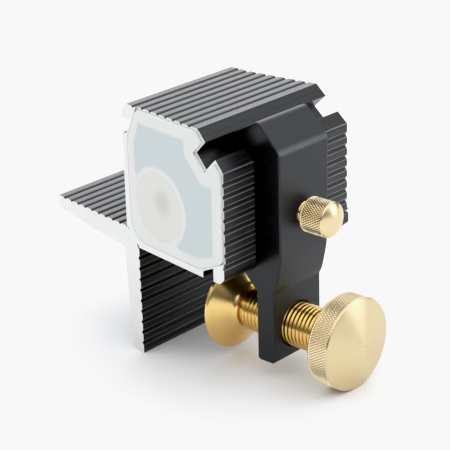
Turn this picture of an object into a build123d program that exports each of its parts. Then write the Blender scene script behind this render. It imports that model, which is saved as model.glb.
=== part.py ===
from build123d import *
import math
import os

# Dovetail saw guide. Millimetres, +Z up.
# Origin: centre of the box's bottom face (the stop for the end of the board),
# at half length. +X points from the register fin to the clamp knob, +Y along
# the ribs. The object is the same on both sides of the plane Y = 0, apart from
# the clamp arm's place along its slot.

# ---------------------------------------------------------------- dimensions
P = 3.175                 # pitch of the V-grooves, and the unit of the sections
BOX = 40.0                # outside width and height of the box over its ribs
HALF_LEN = 19.5           # half length of the pad seats' floor at the left wall
SLOPE = 1.0 / 8.0         # slope of both end faces, the dovetail angle
SEAT_DEPTH = 0.64         # depth of the pad seats below the end faces
GROOVE_W = 0.45           # width of a V-groove, in pitches
GROOVE_D = 0.18           # its depth
CHAMFER = 3.0             # 45 degree chamfer of the box's top right edge
SLOT_HALF = 1.16          # half width of the 45 degree slot, as x - z
SLOT_FLOOR = 20.0         # its floor, as x + z
MAG_C = 4.5               # magnet centre from the left and bottom walls
MAG_R = 9.25              # magnet radius, mm
MAG_T = 5.0               # magnet thickness, mm
BOSS_R = 3.4              # boss around the magnets
HEAD_R = 2.8              # magnet screw head radius, mm
ARM_MID = -3.66           # middle of the clamp arm along Y, mm
ARM_W = 19.0              # width of the clamp arm along Y, mm
TONGUE_HALF = 1.08        # half width of the arm's tongue, as x - z
SCREW_Z = -5.13           # axis of the clamp screw
THREAD_R = 6.10           # clamp screw thread radius, mm
LOCK_Z = 5.05             # axis of the lock screw
LOCK_R = 3.0              # lock screw thread radius, mm
LOCK_HEAD = 4.74          # lock screw head radius, mm
KNOB_R = 12.55            # clamp knob radius, mm
FOOT_R = 12.7             # clamp foot radius, mm

W = BOX / P
os.makedirs("parts", exist_ok=True)


def mm(x, z):
    """Section point in pitches, from the left wall's and the bottom's face."""
    return (x * P - BOX / 2, z * P)


def prism(points, y0, y1):
    """Solid of a section in the XZ plane, from y0 to y1."""
    face = make_face(Polyline(*[mm(x, z) for x, z in points], close=True))
    return Pos(0, y1, 0) * extrude(Plane.XZ * face, y1 - y0)


def rounded_prism(points, radius, y0, y1):
    """The same with rounded corners; radius(turn in degrees, point) is in mm."""
    pts = [Vector(*mm(x, z)) for x, z in points]
    n = len(pts)
    corners = []
    for i, p in enumerate(pts):
        a, b = pts[i - 1] - p, pts[(i + 1) % n] - p
        turn = 180.0 - math.degrees(math.acos(max(-1.0, min(1.0, a.dot(b) / a.length / b.length))))
        r = radius(turn, points[i])
        t = min(r * math.tan(math.radians(turn) / 2), 0.42 * a.length, 0.42 * b.length)
        if turn < 7.0 or t < 0.02:
            corners.append((p, None, p))
            continue
        r = t / math.tan(math.radians(turn) / 2)
        p0, p1 = p + a.normalized() * t, p + b.normalized() * t
        mid = (p0 + p1) * 0.5 - p
        far = math.hypot(r, t)
        corners.append((p0, p + mid.normalized() * (far - r), p1))
    edges = []
    for i, (p0, m, p1) in enumerate(corners):
        if m is not None:
            edges.append(ThreePointArc(p0, m, p1))
        q = corners[(i + 1) % n][0]
        if (q - p1).length > 1e-6:
            edges.append(Line(p1, q))
    return Pos(0, y1, 0) * extrude(Plane.XZ * make_face(Wire(edges)), y1 - y0)


def wedge(half, z0=-45.0, z1=60.0):
    """Everything between the two sloping end planes at +-(half + x / 8)."""
    xa, xb = -45.0, 70.0
    ya = half + SLOPE * xa
    yb = half + SLOPE * xb
    pts = [(xa - BOX / 2, -ya), (xb - BOX / 2, -yb), (xb - BOX / 2, yb), (xa - BOX / 2, ya)]
    return Pos(0, 0, z0) * extrude(make_face(Polyline(*pts, close=True)), z1 - z0)


def mirror_pts(points):
    return [(z, x) for x, z in reversed(points)]


def grooves(x, zs, inward):
    """V-grooves in a face x = const, walking along the given z values."""
    pts = []
    step = 1 if zs[-1] > zs[0] else -1
    for z in zs:
        pts += [(x, z - step * GROOVE_W / 2), (x + inward * GROOVE_D, z), (x, z + step * GROOVE_W / 2)]
    return pts


# --------------------------------------------------------------- guide body
fin_outer = [(-0.52, -0.52), (-0.43, -1.6), (-0.34, -2.7), (-0.24, -4.8), (0.25, -8.3),
             (0.29, -9.7), (0.66, -10.0), (1.54, -9.95)]
lower_right = (
    fin_outer
    + grooves(1.54, list(range(-9, 0)), -1)
    + [(1.54, 0.0), (9.98, 0.0), (9.98, 0.55), (10.05, 0.62), (11.27, 1.22), (11.27, 0.06),
       (12.03, 0.06), (12.55, 0.56), (W, 0.72)]
    + grooves(W, [W - 4 - i for i in range(7, -1, -1)], -1)
    + [(W, W - CHAMFER),
       ((2 * W - CHAMFER + SLOT_HALF) / 2, (2 * W - CHAMFER - SLOT_HALF) / 2),
       ((SLOT_FLOOR + SLOT_HALF) / 2, (SLOT_FLOOR - SLOT_HALF) / 2)]
)
outline = lower_right + mirror_pts(lower_right)[:-1]
half_body = HALF_LEN + SEAT_DEPTH
end_prism = wedge(half_body)
seat_prism = wedge(HALF_LEN)



def body_round(turn, point):
    """Edges of the extrusion: soft groove crests, tighter groove roots."""
    x, z = point
    groove = turn < 45 and (abs(x - 1.54) < 0.01 or abs(z - 1.54) < 0.01 or abs(x - W) < 0.01 or abs(z - W) < 0.01)
    return 0.40 if groove else 0.14 if turn > 70 else 0.30


body = rounded_prism(outline, body_round, -32, 32)

# through hollow beside the magnet boss
arc = [(MAG_C + BOSS_R * math.cos(math.radians(a)), MAG_C + BOSS_R * math.sin(math.radians(a)))
       for a in range(-46, 137, 7)]
hollow_lower = [(6.7, 1.42), (9.5, 1.42), (10.6, 1.75), (11.36, 2.15), (11.36, 7.6), (11.2, 7.98),
                (10.83, 8.13), (10.3, 8.13), (9.9, 8.25), (9.04, 9.04)]
hollow = hollow_lower + mirror_pts(hollow_lower)[1:] + list(reversed(arc))
body -= prism(hollow, -32, 32)

# relief slots in the two inside corners
r_pts = [(1.54 + 0.02, 0.05), (1.54 - 0.16, 0.31), (1.54 - 0.25, 0.27), (1.54 - 0.10, -0.12),
         (1.54 + 0.02, -0.12)]
body -= prism(r_pts, -32, 32)
body -= prism(mirror_pts(r_pts), -32, 32)

body = body & end_prism

# pad seats, open at the ribs
seat = [(0.6, 2.6)] + [
    (2.6 - 2.0 * math.cos(math.radians(a)), 2.6 - 2.0 * math.sin(math.radians(a))) for a in range(6, 90, 6)
] + [(2.6, 0.6), (9.6, 0.6), (12.59, 1.95), (14.5, 2.82), (14.5, 14.5), (2.82, 14.5), (1.95, 12.59), (0.6, 9.6)]
body -= prism(seat, -32, 32) - seat_prism

# magnet pockets and tapped holes
NORM = math.hypot(1.0, SLOPE)


def end_place(side, depth=0.0):
    """Plane at the magnet's centre on an end's seat floor, its Z axis outwards."""
    x = MAG_C * P - BOX / 2
    y = side * (HALF_LEN + SLOPE * MAG_C * P)
    n = Vector(-SLOPE / NORM, side / NORM, 0)
    o = Vector(x, y, MAG_C * P) - n * depth
    return Plane(origin=(o.X, o.Y, o.Z), x_dir=(0, 0, 1), z_dir=(n.X, n.Y, n.Z))


magnets, magnet_screws = {}, {}
for side, name in ((-1, "front"), (1, "rear")):
    place = end_place(side, 0.05)
    body -= place.location * Pos(0, 0, -MAG_T) * Cylinder(
        MAG_R + 0.05, MAG_T + 3.0, align=(Align.CENTER, Align.CENTER, Align.MIN))
    body -= place.location * Pos(0, 0, -MAG_T - 9.0) * Cylinder(1.52, 9.5, align=(Align.CENTER, Align.CENTER, Align.MIN))
    m = Cylinder(MAG_R, MAG_T, align=(Align.CENTER, Align.CENTER, Align.MAX))
    m -= Cylinder(1.7, MAG_T * 2, align=(Align.CENTER, Align.CENTER, Align.CENTER))
    m -= Pos(0, 0, -1.5) * Cone(1.5, 3.1, 1.5, align=(Align.CENTER, Align.CENTER, Align.MIN))
    m = chamfer(m.edges().filter_by(GeomType.CIRCLE).filter_by(lambda e: e.radius > MAG_R - 0.01), 0.3)
    magnets[name] = place.location * m
    s = Pos(0, 0, -0.15) * Cone(1.5, HEAD_R, HEAD_R - 1.5, align=(Align.CENTER, Align.CENTER, Align.MAX))
    s += Pos(0, 0, -0.15) * Cylinder(1.5, MAG_T + 6.0, align=(Align.CENTER, Align.CENTER, Align.MAX))
    s -= Pos(0, 0, -0.15) * extrude(RegularPolygon(1.0 / math.cos(math.pi / 6), 6), -1.3)
    magnet_screws[name] = place.location * s

# --------------------------------------------------------------------- pads
c_off = 0.33
pad_sum = 2 * W - CHAMFER - c_off * math.sqrt(2)
slot_w = SLOT_HALF + c_off * math.sqrt(2) * 0.55
pad_r = 12.35
g = 0.03
pad_lower = [(2.6 - (2.0 - g) * math.cos(math.radians(a)), 2.6 - (2.0 - g) * math.sin(math.radians(a)))
             for a in range(48, 90, 6)] + [
    (2.6, 0.6 + g), (9.6 - 0.01, 0.6 + g), (pad_r - 0.25, 1.845 + g - 0.11), (pad_r, 2.1),
    (pad_r, pad_sum - pad_r),
    ((pad_sum + slot_w) / 2, (pad_sum - slot_w) / 2),
    ((SLOT_FLOOR - 0.42 + slot_w) / 2, (SLOT_FLOOR - 0.42 - slot_w) / 2)]
pad_outline = pad_lower + mirror_pts(pad_lower)
pad_all = (prism(pad_outline, -32, 32) & end_prism) - seat_prism
front_pad = [s for s in pad_all.solids() if s.center().Y < 0][0]
rear_pad = [s for s in pad_all.solids() if s.center().Y > 0][0]

# ---------------------------------------------------------------- clamp arm
AX_Y = ARM_MID
ARM_END = 0.9             # rounding of the arm's lower end, mm
q = ARM_END / P
h = q * (1 - math.sqrt(0.5))
# the heel reaches round the body's lip into the notch behind it
heel = [mm(12.65, 9.56), mm(12.65, 0.575), mm(12.052, 0.0), mm(11.21, 0.0), mm(11.21, 1.00), mm(11.13, 1.07),
        mm(10.40, 0.714), mm(10.42, 0.52), mm(12.65, -1.71)]
low = [mm(12.65, -1.71), mm(12.65, -7.85 + q), mm(12.65 + h, -7.85 + h), mm(12.65 + q, -7.85),
       mm(14.43 - q, -7.85), mm(14.43 - h, -7.85 + h), mm(14.43, -7.85 + q), mm(14.43, -1.70)]
high = [mm(15.33, 3.00), mm(15.33, 10.56)]
s_curve = Spline([low[-1], mm(14.58, -1.26), mm(14.91, -0.20), mm(15.22, 1.35), high[0]],
                 tangents=[(0, 1), (0, 1)])
shoulder = ThreePointArc(high[1], mm(15.282, 10.801), mm(15.1455, 11.0055))
top = [mm(15.1455, 11.0055), mm(13.40, 12.76)]
ridge = ThreePointArc(top[-1], mm(13.02, 12.95), mm(12.62, 12.83))
nose = [mm(12.62, 12.83), mm(10.62, 11.75), mm(10.50, 11.58), mm(9.60, 10.68), mm(9.68, 10.44),
        mm(10.44, 9.68), mm(10.68, 9.60), mm(11.66, 10.58), mm(11.74, 10.56), mm(12.65, 9.56)]
arm_wire = Wire(Polyline(*heel).edges() + Line(low[0], low[1]).edges() + ThreePointArc(low[1], low[2], low[3]).edges() + Line(low[3], low[4]).edges()
                + ThreePointArc(low[4], low[5], low[6]).edges() + Line(low[6], low[7]).edges() + s_curve.edges() + Line(high[0], high[1]).edges() + shoulder.edges()
                + Line(top[0], top[1]).edges() + ridge.edges() + Polyline(*nose).edges())
arm = Pos(0, AX_Y + ARM_W / 2, 0) * extrude(Plane.XZ * make_face(arm_wire), ARM_W)


def bevelled(edge):
    """The arm's rims, apart from those of the tongue and the hook's underside."""
    x, z = (edge.center().X + BOX / 2) / P, edge.center().Z / P
    return x > 14 or z > 12 or z < -7.8 or (x > 11.3 and z < -0.3)


arm = fillet(arm.faces().filter_by(Axis.Y).edges().filter_by(bevelled), 0.45)


def along_x(z):
    """Location of a turned piece whose own +Z axis lies along +X."""
    return Location(Plane(origin=(0, AX_Y, z * P), x_dir=(0, 1, 0), z_dir=(1, 0, 0)))


def turned(profile, z):
    """Solid of revolution about an axis along X; profile is (x, r) in mm."""
    face = make_face(Polyline(*[(r, x) for x, r in profile], close=True))
    solid = revolve(Plane.XZ * face, Axis.Z, 360)
    return along_x(z) * solid


def xm(x):
    return x * P - BOX / 2


arm -= turned([(xm(12), 0), (xm(12), THREAD_R + 0.06), (xm(16), THREAD_R + 0.06), (xm(16), 0)], SCREW_Z)
arm -= turned([(xm(12), 0), (xm(12), LOCK_R + 0.05), (xm(16), LOCK_R + 0.05), (xm(16), 0)], LOCK_Z)
# lead-in chamfers of the two tapped holes
for xx, d in ((12.65, 1), (14.43, -1)):
    arm -= turned([(xm(xx) - d * 0.5, 0), (xm(xx) - d * 0.5, THREAD_R + 1.0), (xm(xx) + d * 0.5, THREAD_R), (xm(xx) + d * 0.5, 0)], SCREW_Z)

# --------------------------------------------------------------- lock screw
TIP = xm(W) + 0.05
lock_profile = [(TIP, 0), (TIP, 2.2), (TIP + 0.8, LOCK_R), (xm(15.62), LOCK_R), (xm(15.72), 2.7),
                (xm(15.92), 2.7), (xm(15.92), 4.25), (xm(15.92) + 0.45, LOCK_HEAD), (xm(18.14), LOCK_HEAD),
                (xm(18.20), 4.52)]
cap = []
for i in range(1, 12):
    u = 1.0 - i / 11
    cap.append((xm(18.20) + 1.25 * (1.0 - u ** 2.2), 4.52 * u if i < 11 else 0.0))
lock_screw = turned(lock_profile + cap, LOCK_Z)

# -------------------------------------------------- clamp screw, foot, ring
X_FOOT = xm(7.60)            # front face of the foot's rim
X_STEM = xm(9.70)            # shoulder where the thread starts
SPIG_R = 3.0                 # spigot that the foot turns on
X_KNOB = xm(18.66)
X_RIM = xm(20.77)
REC = 1.5                    # recess in the foot's face for the ring
screw_profile = [
    (X_FOOT + 0.15, 0), (X_FOOT + 0.15, SPIG_R - 0.3), (X_FOOT + 0.45, SPIG_R), (X_FOOT + 0.55, SPIG_R),
    (X_FOOT + 0.55, 2.4), (X_FOOT + 1.40, 2.4), (X_FOOT + 1.40, SPIG_R), (X_STEM, SPIG_R), (X_STEM, 5.3),
    (X_STEM + 0.8, THREAD_R), (xm(17.9), THREAD_R), (xm(18.1), 5.4), (X_KNOB, 5.4),
    (X_KNOB, KNOB_R - 0.55), (X_KNOB + 0.55, KNOB_R), (X_RIM - 0.5, KNOB_R), (X_RIM, KNOB_R - 0.5)]
dome = []
for i in range(1, 13):
    t = i / 12
    r = (KNOB_R - 0.5) * (1 - t)
    dome.append((X_RIM + 2.3 * (1 - (r / (KNOB_R - 0.5)) ** 1.6), max(r, 0.0)))
dome = [(x, r) for x, r in dome if r > 0.9]
dome += [(dome[-1][0] - 0.45, 0.0)]
clamp_screw = turned(screw_profile + dome, SCREW_Z)

foot_profile = [
    (X_FOOT, 6.0), (X_FOOT, FOOT_R - 0.15), (X_FOOT + 0.15, FOOT_R), (X_FOOT + 0.9, FOOT_R), (X_FOOT + 1.05, FOOT_R - 0.1),
    (xm(9.20), 6.95), (xm(9.32), 6.67), (xm(9.42), 6.4), (xm(9.46), 5.1), (X_STEM - 0.15, 5.1), (X_STEM - 0.15, SPIG_R + 0.06),
    (X_FOOT + REC, SPIG_R + 0.06), (X_FOOT + REC, 6.0)]
clamp_foot = turned(foot_profile, SCREW_Z)

ring_profile = [(X_FOOT + 0.65, 2.42), (X_FOOT + 0.65, 5.2), (X_FOOT + 1.30, 5.2), (X_FOOT + 1.30, 2.42)]
ring = turned(ring_profile, SCREW_Z)
gap = Pos(xm(0) + X_FOOT - xm(0) + 1.0, AX_Y, SCREW_Z * P - 5.0) * Box(3.0, 3.2, 6.0)
ring -= gap

# ------------------------------------------------------------------- export
pieces = {
    "guide_body": body,
    "front_face_pad": front_pad,
    "rear_face_pad": rear_pad,
    "front_magnet": magnets["front"],
    "rear_magnet": magnets["rear"],
    "front_magnet_screw": magnet_screws["front"],
    "rear_magnet_screw": magnet_screws["rear"],
    "clamp_arm": arm,
    "arm_lock_screw": lock_screw,
    "clamp_screw": clamp_screw,
    "clamp_foot": clamp_foot,
    "foot_retaining_ring": ring,
}
for name, shape in pieces.items():
    solids = shape.solids()
    out = solids[0] if len(solids) == 1 else Compound(children=list(solids))
    print(name, len(solids), round(sum(s.volume for s in solids), 1))
    export_step(out, f"parts/{name}.step")
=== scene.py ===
import math

import bpy
from mathutils import Matrix, Vector


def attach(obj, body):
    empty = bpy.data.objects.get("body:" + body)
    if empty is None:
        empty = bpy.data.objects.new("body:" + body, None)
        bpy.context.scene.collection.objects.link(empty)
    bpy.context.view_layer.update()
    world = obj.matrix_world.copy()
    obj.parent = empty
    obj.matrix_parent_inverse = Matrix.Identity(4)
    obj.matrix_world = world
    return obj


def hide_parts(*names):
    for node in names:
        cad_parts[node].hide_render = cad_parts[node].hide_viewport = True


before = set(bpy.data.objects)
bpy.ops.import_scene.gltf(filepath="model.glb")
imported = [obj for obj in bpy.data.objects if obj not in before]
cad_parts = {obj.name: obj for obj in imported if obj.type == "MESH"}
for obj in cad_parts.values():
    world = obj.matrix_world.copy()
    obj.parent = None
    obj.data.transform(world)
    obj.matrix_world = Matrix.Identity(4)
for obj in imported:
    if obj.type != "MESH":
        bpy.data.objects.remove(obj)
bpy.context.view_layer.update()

# Looks of a dovetail saw guide: black anodised extrusion with bare machined
# ends, translucent pads, turned and knurled brass screws, on a pale floor.
# All shapes below are in millimetres in the object's own frame.

P = 3.175                       # groove pitch, unit of the section
OX, OY = 20.0, 19.5             # corner of the section to the origin
AX_Y = -3.66                    # the arm's and both screws' place along Y
SCREW_Z = -5.13 * P
CHAM = 3.0                      # flat across the top right corner, in pitches
LOCK_Z = 5.05 * P
PITCH = 1.27                    # clamp screw thread


def X(x):
    return x * P - OX


# ------------------------------------------------------------------ meshes
def make_object(name, verts, faces, sharp_deg=32.0):
    me = bpy.data.meshes.new(name)
    me.from_pydata([(a * 0.001, b * 0.001, c * 0.001) for a, b, c in verts], [], faces)
    me.validate()
    me.update()
    me.shade_smooth()
    me.set_sharp_from_angle(angle=math.radians(sharp_deg))
    ob = bpy.data.objects.new(name, me)
    bpy.context.scene.collection.objects.link(ob)
    return ob


def lathe(name, rings, z0, n, radius=None, sharp_deg=32.0):
    """Turned piece about the X axis at (AX_Y, z0). rings are (x, r) from one
    end to the other; r = 0 closes an end. radius(x, r, angle, i) may reshape."""
    verts, faces, rows = [], [], []
    for i, (x, r) in enumerate(rings):
        if r <= 1e-9:
            rows.append([len(verts)])
            verts.append((x, AX_Y, z0))
            continue
        row = []
        for j in range(n):
            a = 2 * math.pi * j / n
            rr = radius(x, r, a, i) if radius else r
            row.append(len(verts))
            verts.append((x, AX_Y + rr * math.cos(a), z0 + rr * math.sin(a)))
        rows.append(row)
    closed = len(rows[0]) > 1 and rings[0] == rings[-1]
    for a, b in zip(rows, rows[1:]):
        if len(a) == 1 and len(b) == 1:
            continue
        for j in range(n):
            k = (j + 1) % n
            if len(a) == 1:
                faces.append((a[0], b[k], b[j]))
            elif len(b) == 1:
                faces.append((a[j], a[k], b[0]))
            else:
                faces.append((a[j], a[k], b[k], b[j]))
    ob = make_object(name, verts, faces, sharp_deg)
    if closed:
        import bmesh
        bm = bmesh.new()
        bm.from_mesh(ob.data)
        bmesh.ops.remove_doubles(bm, verts=bm.verts, dist=1e-7)
        bm.to_mesh(ob.data)
        bm.free()
        ob.data.set_sharp_from_angle(angle=math.radians(sharp_deg))
    import bmesh
    bm = bmesh.new()
    bm.from_mesh(ob.data)
    bmesh.ops.recalc_face_normals(bm, faces=bm.faces)
    bm.to_mesh(ob.data)
    bm.free()
    ob.data.set_sharp_from_angle(angle=math.radians(sharp_deg))
    return ob


def tri(t):
    """Triangle wave, 0 at whole numbers and 1 halfway."""
    t = t % 1.0
    return 1.0 - abs(2.0 * t - 1.0)


def arc_pts(x0, r0, x1, r1, cx, cr, n):
    """Points of an arc from (x0, r0) to (x1, r1) round (cx, cr)."""
    a0, a1 = math.atan2(r0 - cr, x0 - cx), math.atan2(r1 - cr, x1 - cx)
    rad = math.hypot(x0 - cx, r0 - cr)
    return [(cx + rad * math.cos(a0 + (a1 - a0) * i / n), cr + rad * math.sin(a0 + (a1 - a0) * i / n))
            for i in range(n + 1)]


def spread(x0, x1, r0, r1, n):
    return [(x0 + (x1 - x0) * i / n, r0 + (r1 - r0) * i / n) for i in range(n + 1)]


# ------------------------------------------------------- clamp screw + knob
X_FOOT, X_STEM, X_KNOB, X_RIM = X(7.60), X(9.70), X(18.66), X(20.77)
KNOB_R, THREAD_R = 12.55, 6.10
TH_X0, TH_X1 = X_STEM + 0.5, X(18.05)


def thread_r(x, r, a, pitch, depth, x0, x1, crest):
    """Rounded right-hand thread that runs out at both ends."""
    fade = min(1.0, max(0.0, (x - x0) / (0.8 * pitch))) * min(1.0, max(0.0, (x1 - x) / (0.8 * pitch)))
    t = tri(x / pitch - a / (2 * math.pi))
    s = t * t * (3 - 2 * t)
    s = 0.35 * t + 0.65 * s
    return crest - depth * (1 - s) * fade - (1 - fade) * depth * 0.5


def screw_radius(x, r, a, i):
    if TH_X0 <= x <= TH_X1 and abs(r - THREAD_R) < 0.01:
        return thread_r(x, r, a, PITCH, 0.27, TH_X0, TH_X1, THREAD_R)
    return r


stem = [(X_FOOT + 0.15, 0.0), (X_FOOT + 0.15, 2.7), (X_FOOT + 0.45, 3.0), (X_FOOT + 0.55, 3.0), (X_FOOT + 0.55, 2.4),
        (X_FOOT + 1.40, 2.4), (X_FOOT + 1.40, 3.0), (X_STEM, 3.0), (X_STEM, 5.15), (X_STEM + 0.25, 5.4)]
stem += spread(TH_X0, TH_X1, THREAD_R, THREAD_R, int((TH_X1 - TH_X0) / PITCH * 10))
stem += [(TH_X1 + 0.15, 5.4), (X_KNOB, 5.4)]
stem_ob = lathe("clamp_screw_stem", stem + [(X_KNOB + 0.2, 5.4), (X_KNOB + 0.2, 0.0)], SCREW_Z, 160, screw_radius, 50.0)

KN_N, KN_DEPTH = 104, 0.34
KN_X0, KN_X1 = X_KNOB + 0.62, X_RIM - 0.50
KN_LX = 2 * math.pi * KNOB_R / KN_N / math.tan(math.radians(32))


def knurl_r(x, a, n, lx, depth, x0, x1, crest):
    u = a * n / (2 * math.pi)
    h = min(tri(u + x / lx), tri(u - x / lx))
    h = min(h * 1.25, 1.0)
    edge = min(1.0, (x - x0) / 0.12, (x1 - x) / 0.12)
    return crest - depth * (1 - h) * max(0.0, edge)


def knob_radius(x, r, a, i):
    if KN_X0 <= x <= KN_X1 and abs(r - KNOB_R) < 1e-6:
        return knurl_r(x, a, KN_N, KN_LX, KN_DEPTH, KN_X0, KN_X1, KNOB_R)
    return r


def smooth_corner(p0, p1, p2, cut, n):
    """Points that round the corner p1."""
    v0 = Vector((p0[0] - p1[0], p0[1] - p1[1])).normalized() * cut
    v2 = Vector((p2[0] - p1[0], p2[1] - p1[1])).normalized() * cut
    out = []
    for i in range(n + 1):
        t = i / n
        a, b, c = (1 - t) ** 2, 2 * t * (1 - t), t * t
        out.append((a * (p1[0] + v0.x) + b * p1[0] + c * (p1[0] + v2.x),
                    a * (p1[1] + v0.y) + b * p1[1] + c * (p1[1] + v2.y)))
    return out


DOME_H, FACE_R = 2.3, KNOB_R - 0.50
knob = [(X_KNOB, 5.2), (X_KNOB, 6.4)]
knob += spread(X_KNOB, X_KNOB, 6.8, KNOB_R - 0.75, 4)
knob += smooth_corner((X_KNOB, 8), (X_KNOB, KNOB_R - 0.52), (KN_X0, KNOB_R), 0.12, 3)
knob += spread(KN_X0, KN_X1, KNOB_R, KNOB_R, 42)
knob += smooth_corner((KN_X1, KNOB_R), (X_RIM - 0.08, KNOB_R - 0.16), (X_RIM, FACE_R - 0.2), 0.14, 3)
for i in range(0, 40):
    t = i / 40
    r = (FACE_R - 0.28) * (1 - t)
    x = X_RIM + 0.04 + (DOME_H - 0.04) * (1 - (r / FACE_R) ** 1.6)
    if r > 1.15:
        knob.append((x, r))
xd = knob[-1][0]
knob += [(xd + 0.005, 0.95), (xd + 0.005, 0.72), (xd - 0.02, 0.62), (xd - 0.10, 0.42), (xd - 0.17, 0.2), (xd - 0.19, 0.0)]
knob = [(X_KNOB, 0.0)] + knob
knob_ob = lathe("clamp_screw_knob", knob, SCREW_Z, KN_N * 7, knob_radius, 38.0)

# -------------------------------------------------------------- lock screw
LR, LX0, LX1 = 4.74, X(15.92), X(18.14)
LK_N, LK_DEPTH = 42, 0.38
LK_LX = 2 * math.pi * LR / LK_N / math.tan(math.radians(32))
LK0, LK1 = LX0 + 0.45, LX1 - 0.06
LT0, LT1 = X(12.59) + 0.9, X(15.60)


def lock_radius(x, r, a, i):
    if LK0 <= x <= LK1 and abs(r - LR) < 1e-6:
        return knurl_r(x, a, LK_N, LK_LX, LK_DEPTH, LK0, LK1, LR)
    if LT0 <= x <= LT1 and abs(r - 3.0) < 1e-6:
        return thread_r(x, r, a, 1.0, 0.5, LT0, LT1, 3.0)
    return r


TIP = X(40.0 / P) + 0.05
lock = [(TIP, 0.0), (TIP, 2.1), (TIP + 0.1, 2.25), (TIP + 0.75, 2.85)]
lock += spread(LT0, LT1, 3.0, 3.0, 90)
lock += [(X(15.72), 2.7), (LX0, 2.7), (LX0, 4.1)]
lock += smooth_corner((LX0, 4.0), (LX0, 4.28), (LX0 + 0.45, LR), 0.1, 3)
lock += spread(LK0, LK1, LR, LR, 60)
R_END, H_CAP = 4.52, 1.25
lock += [(LX1, LR - 0.05), (LX1 + 0.08, LR - 0.12), (LX1 + 0.16, R_END + 0.02)]
for i in range(0, 24):
    u = 1.0 - i / 24
    lock.append((X(18.20) + H_CAP * (1.0 - u ** 2.2), R_END * u))
lock.append((X(18.20) + H_CAP, 0.0))
lock_ob = lathe("lock_screw_turned", lock, LOCK_Z, LK_N * 10, lock_radius, 40.0)

# -------------------------------------------------------------------- foot
FOOT_R = 12.7
foot = [(X_FOOT, 6.0)]
foot += spread(X_FOOT, X_FOOT, 6.3, FOOT_R - 0.30, 5)
foot += smooth_corner((X_FOOT, 11), (X_FOOT, FOOT_R), (X_FOOT + 0.5, FOOT_R), 0.16, 4)
foot += smooth_corner((X_FOOT + 0.4, FOOT_R), (X_FOOT + 0.95, FOOT_R), (X(9.2), 6.95), 0.14, 4)
foot += spread(X_FOOT + 1.3, X(9.15), FOOT_R - 0.42, 7.12, 24)
foot += smooth_corner((X(9.2), 6.95), (X(9.34), 6.62), (X(9.40), 6.35), 0.22, 5)
foot += smooth_corner((X(9.40), 6.3), (X(9.45), 6.2), (X(9.46), 5.1), 0.1, 3)
foot += smooth_corner((X(9.46), 5.6), (X(9.47), 5.1), (X_STEM - 0.3, 5.1), 0.12, 3)
foot += [(X_STEM - 0.15, 5.1), (X_STEM - 0.15, 3.06), (X_FOOT + 1.5, 3.06), (X_FOOT + 1.5, 5.9), (X_FOOT + 1.4, 6.0), (X_FOOT, 6.0)]
foot_ob = lathe("clamp_foot_turned", foot, SCREW_Z, 160, None, 34.0)

# --------------------------------------------------------------- materials
class Val:
    """A number in a node tree, so that masks can be written as sums."""

    def __init__(self, tree, sock):
        self.t, self.s = tree, sock

    def _op(self, op, *others, clamp=False):
        n = self.t.nodes.new("ShaderNodeMath")
        n.operation = op
        n.use_clamp = clamp
        for i, v in enumerate((self,) + others):
            if isinstance(v, Val):
                self.t.links.new(v.s, n.inputs[i])
            else:
                n.inputs[i].default_value = v
        return Val(self.t, n.outputs[0])

    def __add__(self, o): return self._op("ADD", o)
    def __radd__(self, o): return self._op("ADD", o)
    def __sub__(self, o): return self._op("SUBTRACT", o)
    def __rsub__(self, o): return (self * -1.0) + o
    def __mul__(self, o): return self._op("MULTIPLY", o)
    def __rmul__(self, o): return self._op("MULTIPLY", o)
    def __truediv__(self, o): return self._op("DIVIDE", o)
    def abs(self): return self._op("ABSOLUTE")
    def min(self, o): return self._op("MINIMUM", o)
    def max(self, o): return self._op("MAXIMUM", o)
    def sqrt(self): return self._op("SQRT")
    def sin(self): return self._op("SINE")
    def fract(self): return self._op("FRACT")
    def gt(self, o): return self._op("GREATER_THAN", o)

    def step(self, lo, hi):
        """Smooth step from 0 at lo to 1 at hi."""
        n = self.t.nodes.new("ShaderNodeMapRange")
        n.interpolation_type = "SMOOTHSTEP"
        self.t.links.new(self.s, n.inputs["Value"])
        n.inputs["From Min"].default_value = lo
        n.inputs["From Max"].default_value = hi
        return Val(self.t, n.outputs["Result"])


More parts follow.
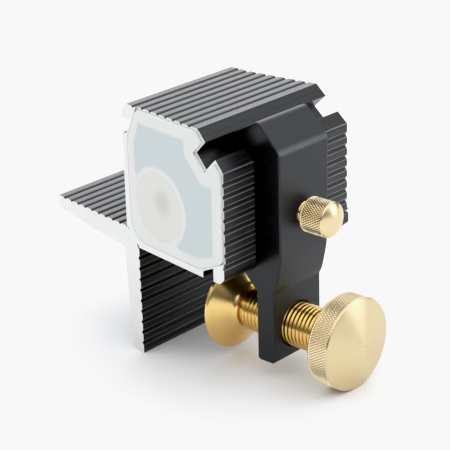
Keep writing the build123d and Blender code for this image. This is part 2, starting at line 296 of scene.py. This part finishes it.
class Tree:
    def __init__(self, name):
        self.mat = bpy.data.materials.new(name)
        self.mat.use_nodes = True
        self.nodes, self.links = self.mat.node_tree.nodes, self.mat.node_tree.links
        self.nodes.clear()
        self.out = self.nodes.new("ShaderNodeOutputMaterial")
        self.bsdf = self.nodes.new("ShaderNodeBsdfPrincipled")
        self.links.new(self.bsdf.outputs[0], self.out.inputs["Surface"])
        self.co = self.nodes.new("ShaderNodeTexCoord").outputs["Object"]

    def xyz(self):
        """Object coordinates in millimetres."""
        sep = self.nodes.new("ShaderNodeSeparateXYZ")
        self.links.new(self.co, sep.inputs[0])
        return [Val(self, s) * 1000.0 for s in sep.outputs]

    def normal(self):
        g = self.nodes.new("ShaderNodeNewGeometry")
        sep = self.nodes.new("ShaderNodeSeparateXYZ")
        self.links.new(g.outputs["True Normal"], sep.inputs[0])
        return [Val(self, s) for s in sep.outputs]

    def noise(self, scale, stretch=(1, 1, 1), detail=3.0, rough=0.55, coords=None):
        m = self.nodes.new("ShaderNodeMapping")
        m.inputs["Scale"].default_value = stretch
        self.links.new(coords or self.co, m.inputs["Vector"])
        n = self.nodes.new("ShaderNodeTexNoise")
        n.inputs["Scale"].default_value = scale
        n.inputs["Detail"].default_value = detail
        n.inputs["Roughness"].default_value = rough
        self.links.new(m.outputs[0], n.inputs["Vector"])
        return Val(self, n.outputs["Fac"])

    def mix(self, fac, a, b):
        n = self.nodes.new("ShaderNodeMix")
        n.data_type = "RGBA"
        for sock, v in ((n.inputs["Factor"], fac), (n.inputs[6], a), (n.inputs[7], b)):
            if isinstance(v, Val):
                self.links.new(v.s, sock)
            elif isinstance(v, (tuple, list)):
                sock.default_value = tuple(v) + (1.0,) * (4 - len(v))
            else:
                sock.default_value = v
        return Val(self, n.outputs[2])

    def lerp(self, fac, a, b):
        return fac * (b - a) + a

    def set(self, name, value):
        sock = self.bsdf.inputs[name]
        if isinstance(value, Val):
            self.links.new(value.s, sock)
        elif isinstance(value, (tuple, list)):
            sock.default_value = tuple(value) + (1.0,) * (4 - len(value))
        else:
            sock.default_value = value

    def bump(self, height, distance_mm, strength=1.0):
        b = self.nodes.new("ShaderNodeBump")
        b.inputs["Strength"].default_value = strength
        b.inputs["Distance"].default_value = distance_mm * 0.001
        self.links.new(height.s, b.inputs["Height"])
        self.links.new(b.outputs[0], self.bsdf.inputs["Normal"])


def paint(node_or_ob, tree):
    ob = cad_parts[node_or_ob] if isinstance(node_or_ob, str) else node_or_ob
    ob.data.materials.clear()
    ob.data.materials.append(tree.mat)


# black anodised extrusion with bare machined ends
t = Tree("guide_body_finish")
x, y, z = t.xyz()
nx, ny, nz = t.normal()
xs, zs = (x + OX) / P, z / P                      # place in the section, in pitches
end_dot = (nx * -0.12403).max(nx * -0.12403) + ny.abs() * 0.99228
end_face = end_dot.gt(0.965)
from_end = (OY + 0.64) + (x + OX) * 0.125 - y.abs()
in_seat = (xs.gt(0.5) * zs.gt(0.5)) * ((xs - 12.45) * -1.0).gt(0.0) * ((zs - 12.45) * -1.0).gt(0.0)
wide = xs.gt(-0.1) * zs.gt(-0.1) * (xs * -1.0).gt(-12.75) * (zs * -1.0).gt(-12.75)
inward = (nx * (xs * -1.0 + 6.3) + nz * (zs * -1.0 + 6.3)).gt(1.2) * wide
shoulder = ((from_end - 0.72) * -1.0).gt(0.0) * in_seat.max(inward)
bare = end_face.max(shoulder)
streak = t.noise(1.0, (2600, 30, 2600), 4.0, 0.6)     # drawn lines along the extrusion
cloud = t.noise(60.0, (1, 0.35, 1), 3.0)
grain = t.noise(5200.0, (1, 1, 1), 2.0)
mill = ((x * 0.92 + z * 0.39) * 9.0 + t.noise(260.0) * 2.2).sin() * 0.5 + 0.5
alu = t.mix(t.noise(90.0), (0.68, 0.685, 0.68), (0.76, 0.76, 0.752))
def crest_edges(u):
    """Painted highlight: narrow light lines at the two edges of every crest, standing in for the light caught by the
    rounded arrises; u is 0 in a groove's middle.
    """
    d = (u + 0.5).fract() - 0.5
    return 1.0 - (d - 0.240).abs().min((d + 0.205).abs() + 0.012).step(0.025, 0.062)


right_face = xs.gt(12.2) * nx.gt(0.05) * zs.gt(0.9) * (zs * -1.0).gt(-9.3)
top_face = zs.gt(12.2) * nz.gt(0.05) * xs.gt(0.9) * (xs * -1.0).gt(-9.3)
low_fin = xs.gt(1.0) * (xs * -1.0).gt(-1.75) * (zs * -1.0).gt(0.25) * nx.gt(0.05)
left_fin = zs.gt(1.0) * (zs * -1.0).gt(-1.75) * (xs * -1.0).gt(0.25) * nz.gt(0.05)
# painted highlight lines along the crest edges of the right, top and fin faces and along the edge of the corner flat
painted_edge_highlight = (right_face * crest_edges(zs - 0.598)).max(top_face * crest_edges(xs - 0.598) * 0.3)
corner_edge_highlight = (1.0 - (zs - (12.598 - CHAM)).abs().step(0.02, 0.06)) * xs.gt(12.4)
painted_edge_highlight = painted_edge_highlight.max(corner_edge_highlight * 0.9).max(low_fin * crest_edges(zs) * 0.6).max(left_fin * crest_edges(xs) * 0.6)
tint = cloud * 0.6 + streak * 0.4
black = t.mix(streak.step(0.35, 0.68), (0.0020, 0.0021, 0.0024), (0.0125, 0.0127, 0.0132))
# The right and top faces get a lighter black than the rest of the extrusion: painted light on these open faces, painted
# shade on the fins' faces in their niches.
black = t.mix(right_face, black, t.mix(tint, (0.010, 0.0102, 0.0106), (0.027, 0.0274, 0.028)))
black = t.mix(top_face, black, t.mix(tint, (0.011, 0.0112, 0.0117), (0.025, 0.0254, 0.026)))
# noise breaks up the painted highlight lines, which are drawn light grey
highlight_breakup = t.noise(1.0, (500, 60, 500), 3.0, 0.6).step(0.30, 0.62)
black = t.mix(painted_edge_highlight * (highlight_breakup * 0.55 + 0.45), black, (0.185, 0.185, 0.19))
t.set("Base Color", t.mix(bare, black, alu))
t.set("Metallic", bare)
rough_black = streak * 0.16 + cloud * 0.06 + right_face * 0.07 + top_face * 0.05 + 0.19
rough_bare = mill * 0.05 + 0.36
t.set("Roughness", rough_black + bare * (rough_bare - rough_black))
t.set("IOR", 1.43)
# The reflection on the lower fin's inner face is tinted down to less than half: painted shade in the niche under the
# body.
t.set("Specular Tint", t.mix(low_fin * (1.0 - bare), (0.97, 1.0, 1.06), (0.44, 0.45, 0.47)))
fine_lines = t.noise(1.0, (7000, 12, 7000), 2.0, 0.5)
t.bump((1.0 - bare) * (streak * 2.4 + fine_lines * 0.7 + grain * 0.2) + bare * (mill * 0.3 + grain * 0.3), 0.014, 1.0)
paint("guide_body", t)

# satin black anodised arm, blasted before anodising
t = Tree("clamp_arm_finish")
x, y, z = t.xyz()
nx, ny, nz = t.normal()
side = ny.abs().step(0.80, 0.97)
cloud = t.noise(70.0, (1, 1, 1), 4.0)
mottle = t.noise(260.0, (1, 0.5, 1), 4.0, 0.6)
xs, zs = (x + OX) / P, z / P
# painted highlight: a lighter band along the rounded shoulder between the 45 degree face and the outer face
painted_shoulder_highlight = (1.0 - (zs - 10.80).abs().step(0.06, 0.36)) * xs.gt(14.9) * (mottle * 0.9 + 0.5) * (1.0 - side)
grain = t.noise(4200.0, (1, 1, 1), 3.0, 0.6)
lines = t.noise(1.0, (1500, 1500, 14), 3.0, 0.5)
skin = t.mix(cloud * 0.6 + mottle * 0.4, (0.009, 0.0094, 0.0102), (0.024, 0.0248, 0.0264))
skin = t.mix(painted_shoulder_highlight, skin, (0.080, 0.083, 0.088))
t.set("Base Color", t.mix(side, skin, (0.0012, 0.0013, 0.0015)))
plain = cloud * 0.10 + mottle * 0.10 + 0.33
cut = lines * 0.06 + 0.19
t.set("Roughness", plain + side * (cut - plain))
t.set("IOR", 1.42)
t.set("Specular Tint", (0.96, 1.0, 1.07))
t.bump((1.0 - side) * (grain * 0.35 + mottle * 1.6) + side * lines * 0.8, 0.010, 1.0)
paint("clamp_arm", t)

# translucent pad, drawn opaque: what lies behind it is painted into its colour, painted shade over the hollow and over
# the screw head, and the magnet's face painted in with a painted shade ring at its rim
def pad_tree(name):
    t = Tree(name)
    x, y, z = t.xyz()
    xs, zs = x + OX, z
    left, low = xs - 1.42 * P, zs - 1.42 * P
    right, high = 11.36 * P - xs, 11.36 * P - zs
    corner = (8.13 * P - xs).max(8.13 * P - zs).max(((18.2 * P) - (xs + zs)) * 0.7071)
    cut_a = ((xs - 1.42 * P) * 1.86 - (zs - 9.5 * P) * 0.73) * 0.5005
    cut_b = ((zs - 1.42 * P) * 1.86 - (xs - 9.5 * P) * 0.73) * 0.5005
    dx, dz = xs - 4.5 * P, zs - 4.5 * P
    rad = (dx * dx + dz * dz).sqrt()
    boss = rad - 3.4 * P
    foot = ((xs + zs) - 8.3 * P) * 0.7071
    hollow = left.min(low).min(right).min(high).min(corner).min(cut_a).min(cut_b).min(boss).min(foot)
    hollow = hollow.step(-0.35, 0.75)
    magnet = (9.25 - rad).step(-0.35, 0.35)
    ring = 1.0 - ((rad - 9.35).abs()).step(0.0, 0.55)
    hx, hz = dx - 1.5, dz - 1.6
    head = (3.2 - (hx * hx + hz * hz).sqrt()).step(-2.0, 2.0)
    cloud = t.noise(45.0, (1, 1, 1), 3.0)
    fine = t.noise(900.0, (1, 1, 1), 3.0)
    col = t.mix(cloud, (0.735, 0.749, 0.735), (0.760, 0.771, 0.757))
    # painted shade over the hollow, the magnet painted in, a painted shade ring at its rim and a painted shade spot
    # over the screw head, set off the magnet's axis
    col = t.mix(hollow, col, (0.548, 0.612, 0.622))
    col = t.mix(magnet, col, (0.705, 0.711, 0.655))
    col = t.mix(ring * 0.35, col, (0.60, 0.62, 0.60))
    col = t.mix(head * 0.9, col, (0.572, 0.575, 0.502))
    t.set("Base Color", col)
    t.set("Roughness", fine * 0.06 + cloud * 0.06 + 0.34)
    t.set("IOR", 1.49)
    t.set("Specular IOR Level", 0.42)
    t.bump(fine * 0.6 + cloud * 0.4, 0.006, 0.5)
    return t


for n in ("front_face_pad", "rear_face_pad"):
    paint(n, pad_tree(n + "_plastic"))

# plated magnets, steel screws and ring
t = Tree("nickel_plate")
fine = t.noise(1500.0, (1, 1, 1), 3.0)
t.set("Base Color", t.mix(t.noise(120.0), (0.66, 0.65, 0.61), (0.74, 0.73, 0.69)))
t.set("Metallic", 1.0)
t.set("Roughness", fine * 0.08 + 0.22)
t.bump(fine, 0.004, 0.4)
paint("front_magnet", t)
paint("rear_magnet", t)
t = Tree("zinc_plate")
fine = t.noise(1800.0, (1, 1, 1), 3.0)
t.set("Base Color", t.mix(t.noise(300.0), (0.52, 0.52, 0.53), (0.64, 0.64, 0.64)))
t.set("Metallic", 1.0)
t.set("Roughness", fine * 0.10 + 0.28)
t.bump(fine, 0.004, 0.4)
for n in ("front_magnet_screw", "rear_magnet_screw", "foot_retaining_ring"):
    paint(n, t)


def brass(name, z0, rough, aniso, ring_amp, dark, pale, grooves=None, groove_shade_col=(0.30, 0.17, 0.045)):
    """Turned brass: fine rings about the piece's own axis, gloss smeared across
    them, painted shade in the grooves of knurls and threads and, where shade is below 0.65, painted highlights on their
    crests (x0, x1, crest, depth, shade)."""
    t = Tree(name)
    x, y, z = t.xyz()
    dy, dz = y - AX_Y, z - z0
    rad = (dy * dy + dz * dz).sqrt()
    comb = t.nodes.new("ShaderNodeCombineXYZ")
    t.links.new(x.s, comb.inputs[0])
    t.links.new(rad.s, comb.inputs[1])
    rings = t.noise(9.0, (1, 1, 1), 4.0, 0.7, comb.outputs[0])
    coarse = t.noise(1.4, (1, 1, 1), 2.0, 0.5, comb.outputs[0])
    cloud = t.noise(140.0, (1, 1, 1), 3.0)
    col = t.mix(cloud, dark, pale)
    col = t.mix(coarse * 0.35, col, pale)
    # painted highlight on the crests and painted shade in the grooves
    for x0, x1, crest, depth, shade in grooves or ():
        if shade < 0.65:
            crest_highlight = (crest - rad).step(depth * 1.3, depth * 1.1) * x.gt(x0) * (x * -1.0).gt(-x1)
            col = t.mix(crest_highlight, col, (0.90, 0.77, 0.52))
        low = (crest - rad).step(depth * 0.38, depth * 0.92) * x.gt(x0) * (x * -1.0).gt(-x1)
        col = t.mix(low * shade, col, groove_shade_col)
    t.set("Base Color", col)
    t.set("Metallic", 1.0)
    t.set("Roughness", rings * ring_amp + cloud * 0.05 + rough)
    t.bsdf.inputs["Anisotropic"].default_value = aniso
    t.bsdf.inputs["Anisotropic Rotation"].default_value = 0.25
    tan = t.nodes.new("ShaderNodeTangent")
    tan.direction_type = "RADIAL"
    tan.axis = "X"
    t.links.new(tan.outputs[0], t.bsdf.inputs["Tangent"])
    t.bump(rings, 0.006, 0.5)
    return t


# One brass, coloured differently per piece: the thread darker and more orange, painted shade and a painted reflection
# of the black arm; the foot more saturated, a painted reflection; the knob and lock screw paler, painted light. The
# lock screw's neck thread is darkened further, painted shade.
paint(stem_ob, brass("brass_thread", SCREW_Z, 0.17, 0.0, 0.05, (0.67, 0.42, 0.11), (0.75, 0.51, 0.175),
                     [(TH_X0, TH_X1, THREAD_R, 0.33, 0.66)], (0.46, 0.25, 0.055)))
paint(knob_ob, brass("brass_knob", SCREW_Z, 0.22, 0.80, 0.08, (0.615, 0.482, 0.278), (0.68, 0.548, 0.332),
                     [(KN_X0 - 0.1, KN_X1 + 0.1, KNOB_R, KN_DEPTH, 0.54)]))
paint(lock_ob, brass("brass_lock_screw", LOCK_Z, 0.20, 0.75, 0.08, (0.68, 0.53, 0.30), (0.75, 0.605, 0.36),
                     [(LK0 - 0.1, LK1 + 0.1, LR, LK_DEPTH, 0.64), (LT0 - 2.0, LX0 - 0.05, 3.1, 0.5, 0.85)]))
paint(foot_ob, brass("brass_foot", SCREW_Z, 0.16, 0.5, 0.06, (0.77, 0.50, 0.17), (0.83, 0.59, 0.25)))

for ob, body, nodes in ((stem_ob, "screw", ["clamp_screw"]), (knob_ob, "screw", ["clamp_screw"]),
                        (lock_ob, "lock", ["arm_lock_screw"]), (foot_ob, "foot", ["clamp_foot"])):
    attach(ob, body)
    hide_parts(*nodes)

# ------------------------------------------------------------------- floor
# The guide stands on the lower fin's edge and the knob's rim.
X_A, Z_A = X(0.66), -10.0 * P
X_B, Z_B = X_RIM - 0.5, SCREW_Z - KNOB_R
TILT = math.atan2(Z_B - Z_A, X_B - X_A)
S = 3.0
fl = bpy.data.meshes.new("floor")
fl.from_pydata([(-S, -S, 0), (S, -S, 0), (S, S, 0), (-S, S, 0)], [], [(0, 1, 2, 3)])
floor = bpy.data.objects.new("floor", fl)
bpy.context.scene.collection.objects.link(floor)
floor.matrix_world = (Matrix.Translation(Vector((X_A, 0, Z_A - 0.03)) * 0.001)
                      @ Matrix.Rotation(-TILT, 4, "Y"))
t = Tree("pale_floor")
t.set("Base Color", t.mix(t.noise(3.0), (0.905, 0.905, 0.907), (0.915, 0.915, 0.916)))
t.set("Roughness", 0.75)
t.set("Specular IOR Level", 0.2)
paint(floor, t)

# ------------------------------------------------------------------- light
def toward(az, el):
    a, e = math.radians(az), math.radians(el)
    return Vector((math.sin(a) * math.cos(e), -math.cos(a) * math.cos(e), math.sin(e)))


# Far soft boxes round the table, on a dim room: azimuth (0 from -Y, 90 from
# +X), elevation, inner and outer angle of the soft edge, brightness.
ROOM = 0.10
BOXES = [(222, 22, 8, 38, 2.4), (60, 84, 32, 76, 1.5), (316, 20, 8, 42, 0.35), (134, 34, 12, 40, 0.5),
         (135, 7, 7, 20, 3.0)]
world = bpy.data.worlds.new("studio")
bpy.context.scene.world = world
world.use_nodes = True
wn, wl = world.node_tree.nodes, world.node_tree.links
wdir = wn.new("ShaderNodeTexCoord").outputs["Generated"]
total = None
for az, el, inner, outer, power in BOXES:
    dot = wn.new("ShaderNodeVectorMath")
    dot.operation = "DOT_PRODUCT"
    wl.new(wdir, dot.inputs[0])
    dot.inputs[1].default_value = toward(az, el)
    edge = wn.new("ShaderNodeMapRange")
    edge.interpolation_type = "SMOOTHSTEP"
    wl.new(dot.outputs["Value"], edge.inputs["Value"])
    edge.inputs["From Min"].default_value = math.cos(math.radians(outer))
    edge.inputs["From Max"].default_value = math.cos(math.radians(inner))
    edge.inputs["To Max"].default_value = power
    add = wn.new("ShaderNodeMath")
    add.operation = "ADD"
    wl.new(edge.outputs["Result"], add.inputs[0])
    if total is None:
        add.inputs[1].default_value = ROOM
    else:
        wl.new(total, add.inputs[1])
    total = add.outputs[0]
wn["Background"].inputs[0].default_value = (0.985, 0.995, 1.01, 1.0)
wl.new(total, wn["Background"].inputs[1])

# ------------------------------------------------------------------ camera
AZ, EL, ROLL = (math.radians(v) for v in (43.18102, 22.49774, -1.64862))
DIST, FOCAL = 136.41491 * P, 1698.7192
back = Vector((math.sin(AZ) * math.cos(EL), -math.cos(AZ) * math.cos(EL), math.sin(EL)))
right = Vector((math.cos(AZ), math.sin(AZ), 0.0))
up = back.cross(right)
r2 = right * math.cos(ROLL) + up * math.sin(ROLL)
u2 = up * math.cos(ROLL) - right * math.sin(ROLL)
pos = Vector((10.842003 * P - OX, -OY, 4.352609 * P)) + back * DIST
cam = bpy.data.cameras.new("camera")
cam.sensor_width = 36.0
cam.sensor_fit = "HORIZONTAL"
cam.lens = FOCAL * 36.0 / 450.0
cam.shift_x = (225.0 - 221.856556) / 450.0
cam.shift_y = -(225.0 - 225.126894) / 450.0
cam.clip_start, cam.clip_end = 0.01, 20.0
cam_ob = bpy.data.objects.new("camera", cam)
bpy.context.scene.collection.objects.link(cam_ob)
m = Matrix.Identity(4)
for i, v in enumerate((r2, u2, back)):
    for k in range(3):
        m[k][i] = v[k]
m.translation = pos * 0.001
cam_ob.matrix_world = m
bpy.context.scene.camera = cam_ob
bpy.context.scene.view_settings.view_transform = "Standard"
bpy.context.scene.view_settings.look = "None"
# print-like tone: a trace of black clipping, whites that stop at off-white
tone = bpy.context.scene.view_settings
tone.use_curve_mapping = True
curve = tone.curve_mapping
curve.extend = "HORIZONTAL"
points = curve.curves[3].points
points[0].location = (0.004, 0.0)
points[1].location = (1.0, 0.939)
points.new(0.05, 0.045)
points.new(0.86, 0.86)
curve.update()
